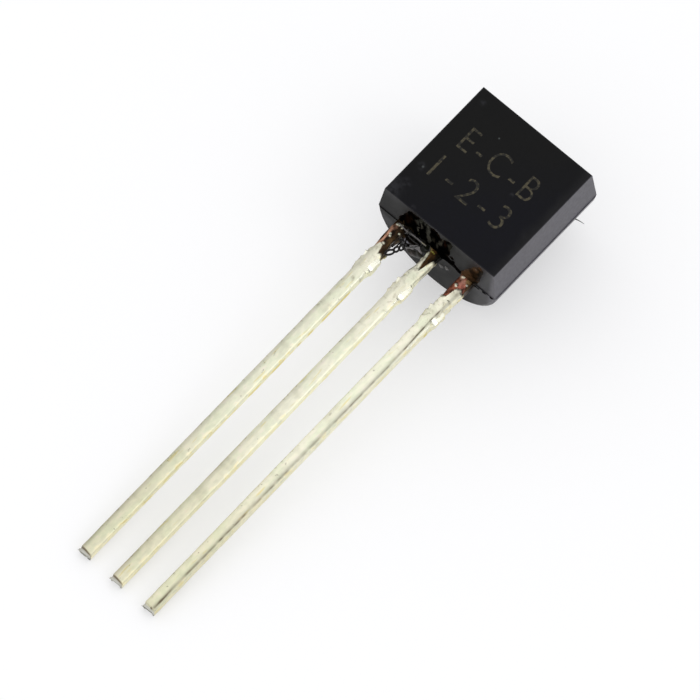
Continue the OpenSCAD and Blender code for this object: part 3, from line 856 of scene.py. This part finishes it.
lineLook = {
    "name": "edge_line", "reach": ((0.4, 1.03), (-0.08, 0.3)), "cell": 0.01, "seed": 3.7,
    "level": 0.45, "ripple": 6.0, "wild": 0.2, "thick": 0.022,
    "blobs": [(0.47, 0.15, 0.09, 0.11, 1.2), (0.59, 0.12, 0.09, 0.09, 1.2), (0.64, 0.27, 0.05, 0.07, 1.2),
              (0.7, 0.1, 0.07, 0.045, 1.2), (0.77, 0.05, 0.07, 0.04, 1.3), (0.85, 0.01, 0.08, 0.06, 1.3),
              (0.92, -0.01, 0.06, 0.045, 1.3), (0.99, -0.01, 0.06, 0.035, 1.3)],
    "colour": (0.0015, 0.0012, 0.0012), "thin": (0.006, 0.0055, 0.005), "rough": 0.4,
}
marksLook = {
    "name": "edge_marks", "reach": ((1.4, 2.26), (-0.2, 0.03)), "cell": 0.01, "seed": 5.5,
    "level": 0.5, "ripple": 7.0, "wild": 0.3, "thick": 0.02,
    "blobs": [(1.5, -0.1, 0.09, 0.05, 1.3), (1.66, -0.08, 0.06, 0.03, 1.1), (1.86, -0.05, 0.09, 0.04, 1.3),
              (2.15, -0.02, 0.07, 0.03, 1.1)],
    "colour": (0.004, 0.0035, 0.003), "thin": (0.010, 0.009, 0.008), "rough": 0.4,
}
webLook = {
    "name": "resin_web", "reach": ((-1.4, -0.5), (-1.34, -0.12)), "cell": 0.012, "seed": 2.6,
    "level": 0.42, "ripple": 2.6, "wild": 0.3, "thick": 0.075,
    "blobs": [(-1.15, -0.85, 0.15, 0.24, 1.2), (-1.0, -0.6, 0.18, 0.24, 1.2), (-0.88, -0.4, 0.16, 0.16, 1.2),
              (-0.7, -0.33, 0.12, 0.09, 1.1), (-1.13, -1.1, 0.09, 0.18, 1.0)],
    "colour": (0.004, 0.003, 0.002), "thin": (0.003, 0.002, 0.001), "rough": 0.2,
    "even": 0.6,
    # the pale grey patches are painted highlights, the darker ones the web's own colour
    "patchesAndSheen": [
        ((-1.16, -0.06, -0.98), 0.03, 0.16, (0.13, 0.13, 0.14)),
        ((-1.08, -0.08, -0.66), 0.04, 0.15, (0.19, 0.19, 0.215)),
        ((-0.95, -0.07, -0.64), 0.02, 0.10, (0.055, 0.05, 0.05)),
        ((-0.86, -0.05, -0.28), 0.02, 0.08, (0.02, 0.019, 0.015)),
        ((-1.2, -0.03, -0.6), 0.03, 0.15, (0.03, 0.018, 0.009))],
}
bandLook = {
    "name": "pale_resin", "reach": ((-1.2, -0.42), (-1.6, -0.2)), "cell": 0.012, "seed": 7.7,
    "level": 0.45, "ripple": 3.0, "wild": 0.25, "thick": 0.022,
    "blobs": [(-1.05, -1.36, 0.08, 0.2, 1.2), (-0.92, -1.0, 0.09, 0.2, 1.2), (-0.75, -0.72, 0.1, 0.18, 1.2),
              (-0.62, -0.5, 0.09, 0.18, 1.2), (-0.58, -0.8, 0.07, 0.16, 1.1)],
    "colour": (0.085, 0.070, 0.073), "thin": (0.07, 0.058, 0.06), "shine": 0.3, "rough": 0.25,
}
lowerLumpLook = {
    "name": "resin_lump", "reach": ((-1.16, -0.36), (-1.74, -0.66)), "cell": 0.012, "seed": 9.2,
    "level": 0.42, "ripple": 3.0, "wild": 0.2, "thick": 0.06,
    "blobs": [(-0.96, -1.42, 0.13, 0.13, 1.2), (-0.79, -1.28, 0.16, 0.18, 1.3),
              (-0.6, -1.08, 0.13, 0.2, 1.2)],
    "colour": (0.012, 0.009, 0.006), "thin": (0.008, 0.008, 0.003), "shine": 0.06, "rough": 0.25,
    "patchesAndSheen": [
        ((-0.86, -0.05, -1.36), 0.03, 0.15, (0.060, 0.044, 0.042)),
        ((-0.66, -0.05, -1.2), 0.03, 0.12, (0.022, 0.020, 0.018))],
}
# the pale grey of the drops is partly their own tone and partly painted highlight
dropsLook = {
    "name": "resin_drops", "reach": ((0.1, 0.6), (-0.8, -0.24)), "cell": 0.012, "seed": 6.1,
    "level": 0.4, "ripple": 3.0, "wild": 0.12, "thick": 0.05,
    "blobs": [(0.24, -0.60, 0.085, 0.07, 1.3), (0.45, -0.44, 0.07, 0.08, 1.3)],
    "colour": (0.10, 0.096, 0.094), "thin": (0.04, 0.039, 0.038), "shine": 0.4, "rough": 0.2,
}
spotLook = {
    "name": "green_drop", "reach": ((-0.66, -0.18), (-0.72, 0.02)), "cell": 0.012, "seed": 4.4,
    "level": 0.4, "ripple": 5.0, "wild": 0.2, "thick": 0.085,
    "blobs": [(-0.47, -0.48, 0.12, 0.17, 1.3), (-0.41, -0.25, 0.1, 0.18, 1.3),
              (-0.33, -0.1, 0.08, 0.12, 1.1)],
    "colour": (0.0028, 0.0034, 0.0008), "thin": (0.004, 0.005, 0.0015), "shine": 0.02, "rough": 0.4,
}


def residueMaterial(look):
    material, tree, shader = newMaterial(look["name"] + "_finish", Specular_IOR_Level=look.get("shine", 0.0))
    point = packagePoint(tree)
    depth = addNode(tree, "Attribute", attribute_name="depth").outputs["Fac"]
    patch = noiseField(tree, point, residueLook["patchScale"], 3)
    thick = combine(tree, "ADD", depth, ramp(tree, patch, 0.35, 0.65, -0.35, 0.25))
    colour = blendColours(tree, ramp(tree, thick, 0.1, 0.5), look["thin"], look["colour"])
    mottle = noiseField(tree, point, residueLook["mottleScale"], 2)
    mottle = ramp(tree, mottle, 0.3, 0.5, look.get("even", 0.0), 1)
    # wavering moves the point a little, so the patches get uneven outlines
    waver = addNode(tree, "TexNoise", {"Vector": point, "Scale": residueLook["waverScale"], "Detail": 2})
    waver = addNode(tree, "VectorMath", {0: waver.outputs["Color"], 1: (0.5, 0.5, 0.5)}, operation="SUBTRACT")
    point = addNode(tree, "VectorMath", {0: waver.outputs[0], 1: residueLook["waver"], 2: point},
                    operation="MULTIPLY_ADD").outputs[0]
    squash = look.get("squash", 1.0)
    flattened = addNode(tree, "VectorMath", {0: point, 1: (1, 1, squash)}, operation="MULTIPLY").outputs[0]
    # patches of the residue's own tone, and painted sheen where a patch is grey or pale on a dark film
    for (x, y, z), inner, outer, tone in look.get("patchesAndSheen", []):
        share = times(tree, spot(tree, flattened, (x, y, z * squash), inner, outer), mottle)
        colour = blendColours(tree, share, colour, tone)
    tree.links.new(colour, shader.inputs["Base Color"])
    rough = ramp(tree, patch, 0.3, 0.7, look["rough"], look["rough"] + residueLook["roughSpread"])
    tree.links.new(rough, shader.inputs["Roughness"])
    addBump(tree, shader, noiseField(tree, point, residueLook["grainScale"], 2), residueLook["grainDepth"])
    return material


films = (filmLook, stainLook, lineLook, marksLook, webLook, bandLook, lowerLumpLook, dropsLook, spotLook)
for look in films:
    buildFilm(look, residueMaterial(look))

threadLook = {
    "tube": 0.024, "loopTube": 0.033, "height": 0.17,
    "loops": [(-0.98, 0.96, 0.075, 0.15, -30), (-0.895, 0.755, 0.07, 0.095, 0),
              (-0.82, 0.61, 0.065, 0.10, 15)],
    "threads": [
        [(-0.80, -0.56, 0.16), (-0.82, -0.46, 0.16), (-0.88, -0.36, 0.14), (-0.95, -0.22, 0.10),
         (-1.0, -0.1, 0.0)],
        [(-1.02, -0.08, -0.12), (-0.9, -0.1, -0.2), (-0.74, -0.08, -0.2), (-0.6, -0.06, -0.24)],
        [(-0.58, -0.06, -0.28), (-0.70, -0.1, -0.5), (-0.83, -0.11, -0.70), (-0.97, -0.1, -0.92),
         (-1.1, -0.08, -1.14)],
        [(-1.0, -0.3, 0.05), (-1.0, -0.45, 0.0), (-0.98, -0.6, 0.05), (-0.99, -0.8, 0.10)],
    ],
    "strands": [[(-0.99, -0.42, 0.15), (-1.025, -0.56, 0.17), (-1.045, -0.68, 0.18), (-1.06, -0.78, 0.18)]],
    "strandTube": 0.042,
    "flash": [(-1.38, -0.09, 0.19), (-1.30, -0.08, 0.20), (-1.20, -0.11, 0.20), (-1.12, -0.10, 0.15),
              (-1.04, -0.06, 0.06), (-0.84, -0.02, 0.015), (-0.57, -0.03, 0.012), (-0.36, -0.03, 0.015)],
    "flashTube": 0.024,
    "sliver": [(2.232, 3.66, -0.28), (2.31, 3.78, -0.48), (2.36, 3.90, -0.78), (2.37, 3.97, -0.98)],
    "sliverTube": 0.019,
}
threadFinish = {"name": "resin_threads", "shine": 0.25, "rough": 0.2, "thin": (0.004, 0.003, 0.003),
                "colour": (0.003, 0.002, 0.002),
                "patchesAndSheen": [((-1.03, -0.60, 0.21), 0.07, 0.14, (0.050, 0.032, 0.015))]}
# the pale colour of the flash is partly pale resin and partly painted highlight along the parting edge
flashFinish = {"name": "parting_flash", "shine": 0.5, "rough": 0.2, "thin": (0.12, 0.11, 0.11),
               "colour": (0.17, 0.16, 0.15),
               "patchesAndSheen": [((-1.0, -0.05, 0.04), 0.03, 0.12, (0.03, 0.03, 0.025)),
                           ((-0.72, -0.03, 0.01), 0.02, 0.1, (0.045, 0.045, 0.04)),
                           ((-0.45, -0.03, 0.01), 0.02, 0.1, (0.20, 0.18, 0.12))]}
sliverFinish = {"name": "flash_sliver", "shine": 0.2, "rough": 0.3, "thin": (0.008, 0.007, 0.007),
                "colour": (0.01, 0.009, 0.01)}


def tubeAlong(bm, points, radius, closed=False, taper=1.0):
    curve = bpy.data.curves.new("tube", "CURVE")
    curve.dimensions = "3D"
    curve.bevel_depth = radius
    curve.bevel_resolution = 3
    curve.use_fill_caps = True
    line = curve.splines.new("NURBS")
    line.points.add(len(points) - 1)
    for index, place in enumerate(points):
        line.points[index].co = (*place, 1)
        line.points[index].radius = 1 + (taper - 1) * index / (len(points) - 1)
    line.use_cyclic_u = closed
    line.use_endpoint_u = not closed
    line.order_u = 4 if len(points) > 3 else 3
    line.resolution_u = 8
    joinMesh(bm, meshOfCurve(curve))


def buildThreads(look):
    bm = bmesh.new()
    for x, down, wide, long, lean in look["loops"]:
        place = Vector((x, -down, look["height"]))
        turn = Matrix.Rotation(math.radians(lean), 4, "Z")
        ring = [turn @ Vector((wide * math.cos(a), long * math.sin(a), 0)) + place
                for a in (math.tau * k / 10 for k in range(10))]
        tubeAlong(bm, ring, look["loopTube"], closed=True)
    for points in look["threads"]:
        tubeAlong(bm, points, look["tube"])
    for points in look["strands"]:
        tubeAlong(bm, points, look["strandTube"])
    addPiece(bm, "resin_threads", residueMaterial(threadFinish))
    bm = bmesh.new()
    tubeAlong(bm, look["flash"], look["flashTube"])
    addPiece(bm, "parting_flash", residueMaterial(flashFinish))
    bm = bmesh.new()
    tubeAlong(bm, look["sliver"], look["sliverTube"], taper=0.35)
    addPiece(bm, "flash_sliver", residueMaterial(sliverFinish))


buildThreads(threadLook)
print("residue built")


# Inner pieces that only a cut package would show

innerLooks = {
    "chip": {"first": (0.10, 0.105, 0.13), "second": (0.16, 0.165, 0.20),
             "metal": 0.3, "rough": 0.12, "scale": 6},
    "chip_bond": {"first": (0.50, 0.48, 0.42), "second": (0.66, 0.64, 0.58),
                  "metal": 0.8, "rough": 0.5, "scale": 14},
    "emitter_wire": {"first": (0.88, 0.60, 0.22), "second": (0.95, 0.70, 0.32),
                     "metal": 1.0, "rough": 0.22, "scale": 30},
}
innerLooks["base_wire"] = innerLooks["emitter_wire"]


def finishInner(nodeName, look):
    material, tree, shader = newMaterial(nodeName + "_finish", Metallic=look["metal"])
    point = packagePoint(tree)
    speckle = noiseField(tree, point, look["scale"], 3)
    colour = blendColours(tree, ramp(tree, speckle, 0.3, 0.7), look["first"], look["second"])
    tree.links.new(colour, shader.inputs["Base Color"])
    rough = ramp(tree, speckle, 0.3, 0.7, look["rough"], look["rough"] + 0.08)
    tree.links.new(rough, shader.inputs["Roughness"])
    data = frame["nodes"][nodeName].data
    data.materials.clear()
    data.materials.append(material)


for nodeName, look in innerLooks.items():
    finishInner(nodeName, look)
print("inner pieces finished")
